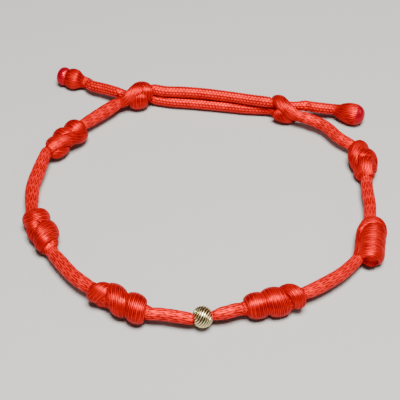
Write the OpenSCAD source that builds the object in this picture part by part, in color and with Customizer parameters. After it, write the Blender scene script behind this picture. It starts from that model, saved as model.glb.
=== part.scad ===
// Red string bracelet: one satin cord tied in barrel knots, with a small gold bead,
// closed by two slide knots and lying open on a flat surface.

/* [Cord] */
// Diameter of the satin cord
cord_d = 2.0; // [1.9:0.02:2.04]
// Diameter of the cord where it lies slack, at the left side and the left of the back
slack_d = 2.4; // [2.2:0.05:2.5]
// Diameter of the cord where it is drawn through the bead
neck_d = 1.25; // [1.1:0.05:1.3]
// Gap left between two pieces that meet
gap = 0.08; // [0.06:0.01:0.1]

/* [Bead] */
// Diameter of the bead
bead_d = 3.5; // [3.3:0.05:3.6]
// Length of the bead along its bore
bead_len = 2.9; // [2.8:0.05:3.1]
// Diameter of the bore
bore_d = 1.5; // [1.45:0.05:1.6]
// Number of slanting cuts round the bead
cuts = 14; // [10:1:16]
// Depth of each cut
cut_depth = 0.16; // [0.08:0.02:0.2]
// Turn of each cut from one end of the bead to the other, in degrees
cut_sweep = 165; // [90:5:180]

/* [Hidden] */

// Sides of a strand in a knot and of a plain stretch, and the longest step between rings
knot_sides = 8;
cord_sides = 8;
knot_step = 1.3;
cord_step = 1.8;

// A strand in a knot, one row a stage: place along the axis, turn round it from the top in
// degrees (90 on the right of the heading), distance from it, width along the skin, thickness
ALONG = 0;
TURN = 1;
AWAY = 2;
WIDE = 3;
THICK = 4;

// Turn round a knot, its middle at the given place and turn. Over its last rings each end sinks
// under the rest by a depth, and loses a share of its width and of its thickness
half_rings = 6;
sunk_rings = 2;
sunk_depth = 0.4;
sunk_narrowing = 0.2;
sunk_thinning = 0.3;
function wrapped(along, turn, reach, pitch, away, wide, thick) = [
    for (k = [-half_rings : half_rings])
        let (off = reach * k / half_rings,
            sunk = max(0, abs(k) - half_rings + sunk_rings) / sunk_rings)
        [along + pitch * off / 360, turn + off, away - sunk_depth * sunk,
            wide * (1 - sunk_narrowing * sunk), thick * (1 - sunk_thinning * sunk)]
];

// Front left knot: two turns side by side over the core and a slanting one at the left
front_left_strands = [
    [
        [-4.9, -45, 0.3, cord_d, cord_d],
        [-4.0, -45, 0.2, 2.3, 2.3],
        [-2.8, -45, 0.0, 3.0, 3.0],
        [-1.0, -45, 0.0, 3.4, 3.4],
        [ 3.4, -45, 0.0, 3.4, 3.4],
        [ 4.5, -90, 0.0, 2.7, 2.7],
        [ 5.1, -90, 0.1, 2.3, 2.3],
        [ 5.8, -90, 0.15, cord_d, cord_d]
    ],
    [
        [ 2.2, -150, 0.95, 2.9, 1.7],
        [ 2.5, -110, 1.20, 3.2, 2.0],
        [ 2.7, -60, 1.32, 3.4, 2.1],
        [ 3.1, -20, 1.40, 3.6, 2.2],
        [ 3.5, 20, 1.40, 3.6, 2.2],
        [ 3.8, 60, 1.40, 3.5, 2.2],
        [ 3.8, 110, 1.35, 3.3, 2.1],
        [ 3.7, 160, 0.95, 2.9, 1.7]
    ],
    [
        [-1.9, -150, 0.95, 2.9, 1.7],
        [-1.6, -110, 1.30, 3.3, 2.1],
        [-1.1, -60, 1.40, 3.5, 2.2],
        [-0.5, -20, 1.40, 3.5, 2.2],
        [ 0.3, 20, 1.40, 3.5, 2.2],
        [ 0.9, 60, 1.40, 3.5, 2.2],
        [ 1.2, 110, 1.35, 3.3, 2.1],
        [ 1.4, 160, 0.95, 2.9, 1.7]
    ],
    [
        [-4.0, 130, 0.80, 1.8, 1.3],
        [-3.8, 85, 1.20, 2.4, 1.7],
        [-3.1, 35, 1.40, 2.8, 1.7],
        [-2.4, -15, 1.40, 2.8, 1.7],
        [-1.6, -60, 1.10, 2.3, 1.5]
    ],
    [
        [-2.0, -110, 0.95, 2.4, 1.6],
        [-2.4, -160, 1.20, 2.8, 1.6],
        [-2.7, -210, 1.20, 2.8, 1.6],
        [-3.2, -260, 0.85, 2.2, 1.4]
    ]
];

// Front right knot: two turns and a strand that slants over the second one
front_right_strands = [
    [
        [-5.4, 120, 0.05, cord_d, cord_d],
        [-4.6, 120, 0.05, 2.4, 2.4],
        [-3.2, 120, 0.0, 3.4, 3.4],
        [ 2.0, 120, 0.0, 3.4, 3.4],
        [ 3.2, 120, 0.0, 3.0, 3.0],
        [ 4.2, 120, -0.3, 2.4, 2.4],
        [ 5.0, 120, -0.5, cord_d, cord_d]
    ],
    wrapped(-2.9, 45, 165, 0.6, 1.20, 3.7, 1.95),
    wrapped(0.2, 45, 165, 1.6, 1.38, 3.9, 2.2),
    [
        [ 3.5, 145, 0.80, 1.8, 1.4],
        [ 3.6, 100, 1.10, 2.1, 1.7],
        [ 3.6, 62, 1.45, 2.3, 1.8],
        [ 3.4, 28, 1.75, 2.5, 1.9],
        [ 2.9, 0, 1.80, 2.5, 1.9],
        [ 2.3, -32, 1.70, 2.5, 1.8],
        [ 1.8, -75, 1.45, 2.6, 1.7],
        [ 1.4, -125, 1.20, 2.4, 1.6]
    ]
];

// Left side knot: a turn, two lobes slanting over it and a small loop by the lower end
side_left_strands = [
    [
        [-4.6, 60, 0.3, cord_d, cord_d],
        [-3.7, 60, 0.1, 2.9, 2.9],
        [-2.4, 60, 0.0, 3.4, 3.4],
        [ 2.9, 60, 0.0, 3.4, 3.4],
        [ 3.9, 60, -0.2, 3.0, 3.0],
        [ 4.7, 60, -0.35, 2.3, 2.3],
        [ 5.3, 60, -0.4, cord_d, cord_d]
    ],
    [
        [-2.9, -150, 1.00, 2.4, 1.6],
        [-2.9, -105, 1.35, 2.7, 1.9],
        [-2.6, -60, 1.45, 3.0, 2.0],
        [-2.1, -20, 1.45, 3.1, 2.0],
        [-2.1, 20, 1.45, 3.1, 2.0],
        [-2.7, 60, 1.45, 2.9, 2.0],
        [-3.1, 105, 1.35, 2.6, 1.9],
        [-3.1, 150, 1.00, 2.4, 1.6]
    ],
    [
        [-0.6, 10, 1.10, 2.6, 1.8],
        [-0.4, 50, 1.40, 3.2, 2.0],
        [-0.1, 90, 1.40, 3.4, 2.0],
        [ 0.4, 130, 1.25, 3.4, 1.9],
        [ 0.9, 170, 0.95, 3.0, 1.7]
    ],
    [
        [-0.4, -140, 1.10, 3.0, 1.8],
        [ 0.1, -108, 1.50, 3.4, 2.1],
        [ 0.8, -76, 1.70, 3.7, 2.2],
        [ 1.5, -42, 1.65, 3.9, 2.2],
        [ 2.1, -8, 1.50, 3.9, 2.1],
        [ 2.7, 26, 1.35, 3.7, 2.1],
        [ 3.0, 62, 1.15, 3.3, 2.0],
        [ 3.1, 100, 0.90, 2.8, 1.8]
    ],
    [
        [ 2.4, -120, 1.00, 2.0, 1.6],
        [ 3.0, -92, 1.25, 2.1, 1.6],
        [ 3.6, -64, 1.15, 2.0, 1.6],
        [ 4.0, -38, 0.70, 1.8, 1.4]
    ]
];

// Left back knot: three turns, a long strand slanting over them and a lobe under its end
back_left_strands = [
    [
        [-4.4, -20, 0.3, cord_d, cord_d],
        [-3.4, -20, 0.2, 2.4, 2.4],
        [-2.0, -20, 0.0, 3.1, 3.1],
        [ 2.2, -20, 0.0, 3.1, 3.1],
        [ 3.7, -40, 0.6, 2.3, 2.2],
        [ 4.7, -50, 0.90, 2.1, 2.1],
        [ 5.6, -50, 1.00, cord_d, cord_d]
    ],
    wrapped(-2.6, -10, 155, 0.4, 1.20, 2.9, 2.0),
    wrapped(0.2, 10, 155, 0.8, 1.22, 2.8, 2.0),
    wrapped(2.4, -20, 140, 0.8, 0.90, 2.6, 1.7),
    [
        [-3.4, -150, 1.00, 2.2, 1.6],
        [-3.1, -120, 1.50, 2.4, 1.8],
        [-2.3, -95, 1.90, 2.4, 1.9],
        [-0.7, -70, 2.05, 2.3, 1.8],
        [ 1.0, -52, 1.95, 2.2, 1.8],
        [ 2.6, -44, 1.65, 2.1, 1.8],
        [ 3.9, -46, 1.25, 2.1, 1.8],
        [ 4.6, -50, 1.00, 2.1, 1.8]
    ],
    [
        [ 4.5, -82, 0.85, 1.8, 1.5],
        [ 3.9, -92, 1.45, 2.1, 1.7],
        [ 3.0, -100, 1.75, 2.2, 1.7],
        [ 1.8, -112, 1.65, 2.1, 1.7],
        [ 0.8, -135, 1.20, 2.0, 1.6]
    ]
];

// Right side knot: a long barrel, its core showing at the near end, and a strand that runs
// along it and over its far end
side_right_strands = [
    [
        [-4.50, 10, 0.55, 1.5, 1.2],
        [-4.35, 10, 0.55, 2.4, 2.0],
        [-4.0, 10, 0.45, 2.9, 2.6],
        [-3.6, 10, 0.20, 3.2, 3.1],
        [-3.0, 10, 0.0, 3.4, 3.4],
        [ 2.4, 90, 0.0, 3.3, 3.3],
        [ 3.9, 90, -0.4, 2.5, 2.5],
        [ 4.7, 90, -0.6, cord_d, cord_d]
    ],
    [
        [-2.2, -150, 1.00, 2.8, 1.6],
        [-2.4, -105, 1.50, 3.2, 1.6],
        [-2.9, -60, 1.55, 3.4, 1.6],
        [-3.1, -15, 1.55, 3.4, 1.6],
        [-3.1, 30, 1.55, 3.4, 1.6],
        [-2.8, 75, 1.55, 3.3, 1.6],
        [-2.4, 120, 1.50, 3.1, 1.6],
        [-2.2, 165, 1.00, 2.8, 1.6]
    ],
    wrapped(-1.6, 10, 160, 0.6, 1.55, 3.4, 1.55),
    wrapped(-0.1, 10, 160, 0.6, 1.55, 3.4, 1.55),
    wrapped(1.5, 10, 160, 0.6, 1.55, 3.4, 1.55),
    [
        [-4.6, -88, 2.15, cord_d, cord_d],
        [-3.8, -86, 2.05, 1.9, 1.7],
        [-2.4, -82, 2.08, 1.8, 1.3],
        [ 0.0, -80, 2.18, 1.8, 1.2],
        [ 1.8, -70, 2.15, 2.0, 1.2],
        [ 2.9, -40, 1.85, 2.3, 1.2],
        [ 3.3, 15, 1.55, 2.3, 1.3],
        [ 2.9, 60, 1.70, 2.1, 1.3],
        [ 1.9, 88, 1.80, 1.9, 1.2],
        [ 0.6, 100, 1.50, 1.8, 1.1]
    ]
];

// Right back knot: a turn, and three strands that cross on top
back_right_strands = [
    [
        [-4.5, -90, 1.1, cord_d, cord_d],
        [-3.6, -90, 0.8, 2.5, 2.5],
        [-2.2, -90, 0.3, 3.2, 3.2],
        [ 2.0, -90, 0.0, 3.3, 3.3],
        [ 3.4, -90, 0.0, 2.7, 2.7],
        [ 4.4, -90, 0.0, cord_d, cord_d]
    ],
    [
        [-1.9, -160, 1.05, 2.6, 1.7],
        [-2.0, -115, 1.50, 2.9, 1.9],
        [-2.1, -75, 1.42, 2.8, 1.8],
        [-2.2, -35, 1.15, 2.6, 1.6],
        [-2.2, 5, 1.05, 2.6, 1.6],
        [-1.9, 45, 1.00, 2.7, 1.7],
        [-1.6, 85, 1.00, 2.8, 1.8],
        [-1.4, 130, 0.90, 2.6, 1.7]
    ],
    [
        [ 2.8, 100, 1.10, 2.4, 1.7],
        [ 2.9, 60, 1.35, 2.7, 1.9],
        [ 2.7, 20, 1.45, 2.9, 2.0],
        [ 2.0, -15, 1.45, 3.0, 2.0],
        [ 1.2, -45, 1.45, 3.1, 2.0],
        [ 0.3, -80, 1.35, 3.1, 2.0],
        [-0.5, -120, 1.20, 3.0, 1.9],
        [-1.0, -160, 0.95, 2.8, 1.7]
    ],
    [
        [-0.9, -30, 1.10, 2.3, 1.7],
        [-0.4, -5, 1.60, 2.5, 1.9],
        [ 0.2, 25, 1.80, 2.6, 1.9],
        [ 0.2, 55, 1.80, 2.6, 1.9],
        [-0.3, 85, 1.65, 2.6, 1.9],
        [-1.1, 120, 1.35, 2.6, 1.8],
        [-1.7, 160, 1.00, 2.5, 1.7]
    ],
    [
        [-0.2, 32, 1.20, 2.3, 1.7],
        [-0.9, 6, 1.60, 2.6, 1.8],
        [-1.8, -14, 1.60, 2.6, 1.8],
        [-2.8, -25, 1.35, 2.3, 1.7],
        [-3.6, -34, 0.95, 2.0, 1.6],
        [-4.2, -45, 0.65, 1.8, 1.5]
    ]
];

// Slide knots: core, the arm's cord that slants over the top, lobes, and the cord that leaves
slide_left_strands = [
    [
        [-1.6, 60, 0.6, 2.4, 2.2],
        [ 0.0, 60, 0.4, 3.2, 3.0],
        [ 1.6, 60, 0.4, 2.4, 2.2]
    ],
    [
        [-3.7, 90, 1.60, cord_d, cord_d],
        [-3.0, 82, 1.60, 2.1, 1.9],
        [-2.2, 66, 1.65, 2.3, 1.7],
        [-1.3, 44, 1.70, 2.5, 1.6],
        [-0.4, 18, 1.80, 2.6, 1.6],
        [ 0.4, -12, 1.95, 2.6, 1.6],
        [ 1.0, -48, 1.95, 2.6, 1.5],
        [ 1.3, -100, 1.75, 2.6, 1.5],
        [ 0.8, -165, 1.60, 2.6, 1.4]
    ],
    [
        [ 0.6, -50, 1.60, 2.3, 1.6],
        [ 1.2, -24, 1.85, 2.4, 1.6],
        [ 1.7, 2, 1.70, 2.4, 1.6],
        [ 1.8, 28, 1.45, 2.4, 1.6],
        [ 1.7, 52, 1.05, 2.2, 1.5],
        [ 1.3, 80, 0.70, 2.0, 1.4]
    ],
    [
        [ 0.8, -165, 1.50, 2.8, 1.6],
        [ 0.3, -215, 1.65, 3.2, 1.7],
        [ 0.0, -258, 1.75, 3.6, 1.8],
        [ 0.0, -295, 1.60, 3.6, 1.7],
        [ 0.2, -330, 1.30, 2.8, 1.5]
    ],
    [
        [-0.4, -10, 0.8, 2.0, 1.8],
        [ 1.2, -12, 0.9, 2.0, 1.8],
        [ 2.4, -14, 1.00, 1.95, 1.85],
        [ 3.3, -14, 1.08, cord_d, cord_d]
    ]
];
slide_right_strands = [
    [
        [-1.4, -150, 0.6, 2.4, 2.2],
        [ 0.0, -150, 0.6, 3.2, 3.0],
        [ 1.4, -150, 0.6, 2.4, 2.2]
    ],
    [
        [-4.0, -84, 1.90, cord_d, cord_d],
        [-3.0, -82, 1.85, 2.1, 1.8],
        [-1.9, -73, 1.85, 2.3, 1.6],
        [-0.8, -56, 1.85, 2.5, 1.6],
        [ 0.1, -33, 1.85, 2.6, 1.6],
        [ 0.9, -5, 1.80, 2.7, 1.6],
        [ 1.3, 35, 1.75, 2.7, 1.5],
        [ 1.2, 95, 1.70, 2.7, 1.5],
        [ 0.6, 160, 1.60, 2.6, 1.4]
    ],
    [
        [ 1.5, -75, 1.30, 2.4, 1.5],
        [ 0.6, -100, 1.75, 2.8, 1.6],
        [-0.4, -135, 1.85, 2.9, 1.6],
        [-1.0, -180, 1.75, 2.8, 1.5],
        [-1.3, -225, 1.30, 2.4, 1.4]
    ],
    [
        [-0.4, 170, 0.8, 2.0, 1.8],
        [ 1.2, 165, 0.9, 2.0, 1.8],
        [ 2.2, 158, 1.05, 1.95, 1.85],
        [ 3.1, 152, 1.20, cord_d, cord_d]
    ]
];

// The other arm's running end inside each slide knot, the end between the knots first
thin_d = 1.5;
past_left_rows = [
    [ 3.8, 172, 1.12, cord_d],
    [ 2.9, 180, 0.92, 1.8],
    [ 1.8, 195, 0.76, thin_d],
    [ 0.4, 215, 0.74, thin_d],
    [-1.2, 238, 0.82, thin_d],
    [-2.4, 258, 1.05, 1.7],
    [-3.6, 274, 1.35, cord_d]
];
past_right_rows = [
    [ 3.6, 5, 1.05, cord_d],
    [ 2.7, 8, 0.95, 1.8],
    [ 1.6, 15, 0.80, thin_d],
    [-1.4, 35, 0.80, thin_d],
    [-2.5, 45, 0.92, 1.7],
    [-3.6, 52, 1.10, cord_d]
];

// Stopper knots: a round knot and the tip melted to a button
end_left_strands = [
    [
        [-2.6, 140, 0.7, cord_d, cord_d],
        [-1.6, 140, 0.4, 2.2, 2.2],
        [-1.0, 140, 0.2, 2.8, 2.7],
        [-0.3, 140, 0.0, 3.7, 3.6],
        [ 0.6, 140, 0.0, 3.9, 3.8],
        [ 1.3, 140, 0.0, 3.6, 3.5],
        [ 1.65, 140, 0.0, 2.95, 2.9],
        [ 1.95, 140, 0.0, 3.3, 3.2],
        [ 2.5, 140, 0.0, 3.5, 3.4],
        [ 3.05, 140, 0.0, 3.2, 3.1],
        [ 3.45, 140, 0.0, 2.5, 2.4],
        [ 3.7, 140, 0.0, 1.3, 1.2]
    ]
];
end_right_strands = [
    [
        [-3.3, -40, 0.05, cord_d, cord_d],
        [-2.7, -40, 0.05, 2.2, 2.2],
        [-2.1, -40, 0.0, 2.7, 2.7],
        [-1.3, -40, 0.0, 3.4, 3.4],
        [-0.3, -40, 0.0, 3.9, 3.9],
        [ 0.6, -40, 0.0, 4.0, 4.0],
        [ 1.4, -40, 0.0, 3.7, 3.7],
        [ 2.0, -40, 0.0, 3.05, 3.0],
        [ 2.4, -40, 0.0, 2.2, 2.1],
        [ 2.6, -40, 0.0, 1.2, 1.1]
    ]
];

// Places of the knots: x, y and z of the middle and heading of the axis
X = 0;
Y = 1;
Z = 2;
HEADING = 3;
// Points of plain cord: x, y and z and the diameter
SIZE = 3;
place_front_left = [-13.5, -23.9, 2.44, -28];
place_side_left = [-27.15, -8.5, 2.2, -68];
place_back_left = [-25.05, 14.65, 2.34, -130];
place_front_right = [11.3, -24.1, 2.36, 14];
place_side_right = [28.1, -10.75, 1.94, 80];
place_back_right = [28.55, 8.45, 2.08, 106];
place_slide_left = [-12.3, 26.4, 2.51, 7];
place_slide_right = [15.35, 22.65, 2.53, 168];
place_end_left = [-24.5, 32.0, 2.02, 157];
place_end_right = [27.6, 21.85, 2.08, -20];

// Middle of the bead and heading of its bore
bead_at = [-0.1, -27.1, 2.4];
bead_heading = 9;
// Steps along the bead, and the sides of its bore
bead_steps = 14;
bore_sides = 48;
// Share of a whole ball's reach at which the bead's ends are cut off flat
bead_end_cut = 0.86;
// Power by which the cuts run out towards the bead's ends
cut_runout = 6;

// Points that the plain stretches pass through between two knots: x, y, z and diameter
via_front_west = [[-6.4, -26.6, 2.4, cord_d], [-4.2, -27.0, 2.4, cord_d]];
via_front_east = [[2.7, -26.55, 2.5, 1.95], [3.9, -26.2, 2.5, 2.1], [5.0, -25.75, 2.45, 2.1]];
via_front_left = [[-23.7, -15.0, 2.3, 2.3], [-21.25, -18.25, 2.4, 2.3], [-18.95, -20.5, 2.5, 2.3]];
via_side_left = [
    [-28.95, 6.3, 2.3, slack_d], [-29.6, 2.6, 2.2, slack_d], [-29.55, -0.6, 2.2, slack_d]
];
via_back_left = [[-17.2, 23.0, 2.5, slack_d], [-19.5, 20.8, 2.4, slack_d]];
via_front_right = [[18.0, -21.35, 2.5, 2.2], [20.4, -19.7, 2.4, 2.2], [22.8, -17.65, 2.2, 2.1]];
via_side_right = [[28.65, -2.4, 2.2, 2.1], [28.6, 0.9, 2.2, 2.1]];
via_back_right = [[24.75, 14.9, 2.3, 2.1], [22.45, 17.95, 2.4, 2.1]];
via_overlap_upper = [
    [-6.9, 26.65, 3.45, cord_d], [-3.7, 26.5, 3.45, cord_d], [-0.3, 26.1, 3.45, cord_d],
    [3.1, 25.5, 3.45, cord_d], [6.4, 24.8, 3.45, cord_d], [9.2, 24.1, 3.5, cord_d]
];
via_overlap_lower = [
    [8.4, 24.2, 1.35, cord_d], [5.0, 24.7, 1.35, cord_d], [1.4, 25.25, 1.35, cord_d],
    [-2.2, 25.75, 1.35, cord_d], [-5.6, 26.1, 1.35, cord_d]
];
via_tail_left = [[-18.6, 28.75, 2.3, 2.1], [-20.3, 29.45, 2.2, 2.1], [-21.4, 30.1, 2.1, cord_d]];
via_tail_right = [[20.1, 23.0, 2.8, cord_d], [22.2, 22.95, 2.5, cord_d]];

function unit(v) = v / norm(v);
function blend(a, b, c, d, u) =
    0.5 * (2 * b + (c - a) * u + (2 * a - 5 * b + 4 * c - d) * u * u
        + (3 * b - a - 3 * c + d) * u * u * u);

// Rows smoothed through the given ones, with a lead-in row before and a lead-out row after them
function smooth(rows, counts) = [
    for (i = [1 : len(rows) - 3])
        for (j = [0 : counts[i - 1] - 1])
            blend(rows[i - 1], rows[i], rows[i + 1], rows[i + 2], j / counts[i - 1]),
    rows[len(rows) - 2]
];

// Point of a knot's row in the knot's own frame, x along the axis and z up, and in its place
function knot_out(row) = [0, -sin(row[TURN]), cos(row[TURN])];
function knot_point(row) = [row[ALONG], 0, 0] + row[AWAY] * knot_out(row);
function headed(p, heading) =
    [p[X] * cos(heading) - p[Y] * sin(heading), p[X] * sin(heading) + p[Y] * cos(heading), p[Z]];
function in_place(row, place) =
    headed(knot_point(row), place[HEADING]) + [place[X], place[Y], place[Z]];

// Rows of a knot, with as many steps between two of them as their distance asks
function knot_counts(rows) = [
    for (i = [0 : len(rows) - 2])
        max(1, ceil(norm([
            rows[i + 1][ALONG] - rows[i][ALONG],
            rows[i + 1][AWAY] - rows[i][AWAY],
            abs(rows[i + 1][TURN] - rows[i][TURN]) * PI / 180 * (rows[i][AWAY] + rows[i + 1][AWAY]) / 2
        ]) / knot_step))
];
function led(rows) = concat(
    [2 * rows[0] - rows[1]], rows, [2 * rows[len(rows) - 1] - rows[len(rows) - 2]]);
function fine_rows(rows) = smooth(led(rows), knot_counts(rows));

// Directions of a path at its points
function headings(points) = [
    for (i = [0 : len(points) - 1])
        unit(points[min(i + 1, len(points) - 1)] - points[max(i - 1, 0)])
];

// Ring of a strand: an oval across the direction t, thin along the outward direction, made a
// little fuller because its sides are flat
fullness = 1.04;
function ring(p, t, out, wide, thick, sides) =
    let (n = unit(out - (out * t) * t), s = cross(n, t))
    [for (k = [0 : sides - 1])
        let (a = 360 * k / sides)
        p + (s * wide * cos(a) + n * thick * sin(a)) / 2 * fullness];

// Solid swept through rings that have equal numbers of points
module strand(rings) {
    sides = len(rings[0]);
    last = len(rings) - 1;
    walls = [
        for (i = [0 : last - 1])
            for (k = [0 : sides - 1])
                let (a = i * sides + k, b = i * sides + (k + 1) % sides)
                each [[a, a + sides, b], [b, a + sides, b + sides]]
    ];
    first_cap = [[for (k = [0 : sides - 1]) k]];
    last_cap = [[for (k = [sides - 1 : -1 : 0]) last * sides + k]];
    polyhedron(points = [for (r = rings) each r], faces = concat(walls, first_cap, last_cap));
}

module knot_strand(rows, place) {
    fine = fine_rows(rows);
    points = [for (row = fine) in_place(row, place)];
    ahead = headings(points);
    strand([
        for (i = [0 : len(fine) - 1])
            ring(points[i], ahead[i], headed(knot_out(fine[i]), place[HEADING]),
                fine[i][WIDE], fine[i][THICK], knot_sides)
    ]);
}
module knot(strands, place) color("red") union() for (rows = strands) knot_strand(rows, place);

// Slide knot with a channel for the other arm's running end, wider than the cord by some play
channel_play = 4 * gap;
module slide_knot(strands, past_rows, place) {
    color("red")
        difference() {
            union() for (rows = strands) knot_strand(rows, place);
            knot_strand(
                [for (row = led(past_rows))
                    concat(row, [row[WIDE]]) + [0, 0, 0, channel_play, channel_play]],
                place);
        }
}

// Start of a strand and finish of another, each a point and the way out of the knot. Cord comes
// in and goes out by the core, or else by the strands that are named below
START_END = 0;
FINISH_END = 1;
POINT = 0;
WAY_OUT = 1;
function ends(first, last, place) =
    let (a = [for (row = fine_rows(first)) in_place(row, place)],
        b = [for (row = fine_rows(last)) in_place(row, place)],
        n = len(b))
    [[a[0], unit(a[0] - a[1])], [b[n - 1], unit(b[n - 1] - b[n - 2])]];
function core_ends(strands, place) = ends(strands[0], strands[0], place);
front_left = core_ends(front_left_strands, place_front_left);
side_left = core_ends(side_left_strands, place_side_left);
back_left = core_ends(back_left_strands, place_back_left);
front_right = core_ends(front_right_strands, place_front_right);
side_right = ends(side_right_strands[5], side_right_strands[0], place_side_right);
back_right = core_ends(back_right_strands, place_back_right);
slide_left = ends(slide_left_strands[1], slide_left_strands[4], place_slide_left);
slide_right = ends(slide_right_strands[1], slide_right_strands[3], place_slide_right);
end_left = core_ends(end_left_strands, place_end_left);
end_right = core_ends(end_right_strands, place_end_right);

// Plain cord from one end to another, through rows of x, y, z and diameter
function spot(row) = [row[X], row[Y], row[Z]];
module stretch(from, via, to) {
    rows = concat(
        [concat(from[POINT] + from[WAY_OUT] * gap, [cord_d])],
        via,
        [concat(to[POINT] + to[WAY_OUT] * gap, [cord_d])]);
    n = len(rows);
    spots = [for (row = rows) spot(row)];
    led_spots = concat(
        [spots[0] - from[WAY_OUT] * norm(spots[1] - spots[0])],
        spots,
        [spots[n - 1] - to[WAY_OUT] * norm(spots[n - 1] - spots[n - 2])]);
    widths = [for (i = [-1 : n]) [rows[min(max(i, 0), n - 1)][SIZE]]];
    counts = [for (i = [0 : n - 2]) max(1, ceil(norm(spots[i + 1] - spots[i]) / cord_step))];
    points = smooth(led_spots, counts);
    sizes = smooth(widths, counts);
    last = len(points) - 1;
    inner = headings(points);
    color("red")
        strand([
            for (i = [0 : last])
                ring(points[i], i == 0 ? from[WAY_OUT] : i == last ? -to[WAY_OUT] : inner[i],
                    [0, 0, 1], sizes[i][0], sizes[i][0], cord_sides)
        ]);
}

// Rows of a running end inside a slide knot, in the form of the plain stretches
function passing(rows, place) = [
    for (row = fine_rows([for (row = rows) concat(row, [row[WIDE]])]))
        concat(in_place(row, place), [row[WIDE]])
];

module bead() {
    sides = 2 * cuts;
    half = bead_len / 2;
    radius = bead_d / 2;
    color("khaki")
        translate(bead_at) rotate([0, 0, bead_heading])
            difference() {
                strand([
                    for (i = [0 : bead_steps])
                        let (lat = -1 + 2 * i / bead_steps,
                            along = half * lat,
                            full = radius * sqrt(1 - pow(bead_end_cut * lat, 2)),
                            cut = cut_depth * (1 - pow(lat, cut_runout)))
                        [for (k = [0 : sides - 1])
                            let (a = 360 * k / sides - cut_sweep * lat / 2,
                                r = full - (k % 2) * cut)
                            [along, r * cos(a), r * sin(a)]]
                ]);
                rotate([0, 90, 0])
                    cylinder(d = bore_d, h = bead_len + 1, center = true, $fn = bore_sides);
            }
}

module cord_front() {
    bore = headed([1, 0, 0], bead_heading);
    half = bead_len / 2;
    // Distance from the bead's middle along its bore, and the diameter of the cord there
    near_bead = [
        [-half - 0.65, 1.9], [-half - 0.2, 1.75], [-half - 0.05, neck_d],
        [half + 0.05, neck_d], [half + 0.3, 1.5]
    ];
    stretch(front_left[FINISH_END],
        concat(via_front_west,
            [for (row = near_bead) concat(bead_at + bore * row[0], [row[1]])],
            via_front_east),
        front_right[START_END]);
}
module cord_front_left() stretch(side_left[FINISH_END], via_front_left, front_left[START_END]);
module cord_side_left() stretch(back_left[FINISH_END], via_side_left, side_left[START_END]);
module cord_back_left() stretch(slide_left[START_END], via_back_left, back_left[START_END]);
module cord_front_right() stretch(front_right[FINISH_END], via_front_right, side_right[START_END]);
module cord_side_right() stretch(side_right[FINISH_END], via_side_right, back_right[START_END]);
module cord_back_right() stretch(back_right[FINISH_END], via_back_right, slide_right[START_END]);

module knot_front_left() knot(front_left_strands, place_front_left);
module knot_side_left() knot(side_left_strands, place_side_left);
module knot_back_left() knot(back_left_strands, place_back_left);
module knot_front_right() knot(front_right_strands, place_front_right);
module knot_side_right() knot(side_right_strands, place_side_right);
module knot_back_right() knot(back_right_strands, place_back_right);
module slide_knot_left() slide_knot(slide_left_strands, past_left_rows, place_slide_left);
module slide_knot_right() slide_knot(slide_right_strands, past_right_rows, place_slide_right);
module end_knot_left() knot(end_left_strands, place_end_left);
module end_knot_right() knot(end_right_strands, place_end_right);

module running_end_left()
    stretch(slide_right[FINISH_END],
        concat(via_overlap_lower, passing(past_left_rows, place_slide_left), via_tail_left),
        end_left[START_END]);
module running_end_right()
    stretch(slide_left[FINISH_END],
        concat(via_overlap_upper, passing(past_right_rows, place_slide_right), via_tail_right),
        end_right[START_END]);

bead();
cord_front();
cord_front_left();
cord_side_left();
cord_back_left();
cord_front_right();
cord_side_right();
cord_back_right();
knot_front_left();
knot_side_left();
knot_back_left();
knot_front_right();
knot_side_right();
knot_back_right();
slide_knot_left();
slide_knot_right();
running_end_left();
running_end_right();
end_knot_left();
end_knot_right();
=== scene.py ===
from math import ceil, cos, radians, sin

import bpy
import numpy as np
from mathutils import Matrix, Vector


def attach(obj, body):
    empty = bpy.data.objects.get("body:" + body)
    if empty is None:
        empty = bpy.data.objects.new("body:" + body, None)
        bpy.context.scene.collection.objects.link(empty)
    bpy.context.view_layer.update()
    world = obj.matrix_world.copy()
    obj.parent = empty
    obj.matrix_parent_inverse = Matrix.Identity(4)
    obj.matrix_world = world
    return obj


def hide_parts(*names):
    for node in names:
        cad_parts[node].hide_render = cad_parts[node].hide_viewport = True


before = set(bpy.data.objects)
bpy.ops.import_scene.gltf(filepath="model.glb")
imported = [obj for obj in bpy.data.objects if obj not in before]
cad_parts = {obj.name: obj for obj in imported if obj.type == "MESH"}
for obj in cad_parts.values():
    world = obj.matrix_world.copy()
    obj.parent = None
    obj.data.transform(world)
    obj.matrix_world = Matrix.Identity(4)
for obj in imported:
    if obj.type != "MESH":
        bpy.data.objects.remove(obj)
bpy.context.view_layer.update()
print("frame loaded")

millimetre = 0.001

# The camera looks along +Y, 45 degrees above the surface
cameraSettings = {
    "aim": (-0.5, 1.1, 0.0),  # mm
    "elevation": 45.0,
    "distance": 200.0,  # mm
    "lens": 102.8,
    "sensor": 36.0,
    "clip": (0.005, 20.0),  # m
}


def addCamera(settings):
    lens = bpy.data.cameras.new("photoCamera")
    lens.lens = settings["lens"]
    lens.sensor_width = settings["sensor"]
    lens.clip_start, lens.clip_end = settings["clip"]
    camera = bpy.data.objects.new("photoCamera", lens)
    bpy.context.scene.collection.objects.link(camera)
    tilt = radians(settings["elevation"])
    aim = Vector(settings["aim"]) * millimetre
    away = Vector((0.0, -cos(tilt), sin(tilt))) * settings["distance"] * millimetre
    camera.location = aim + away
    camera.rotation_euler = (radians(90.0 - settings["elevation"]), 0.0, 0.0)
    bpy.context.scene.camera = camera


addCamera(cameraSettings)
print("camera set")


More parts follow.
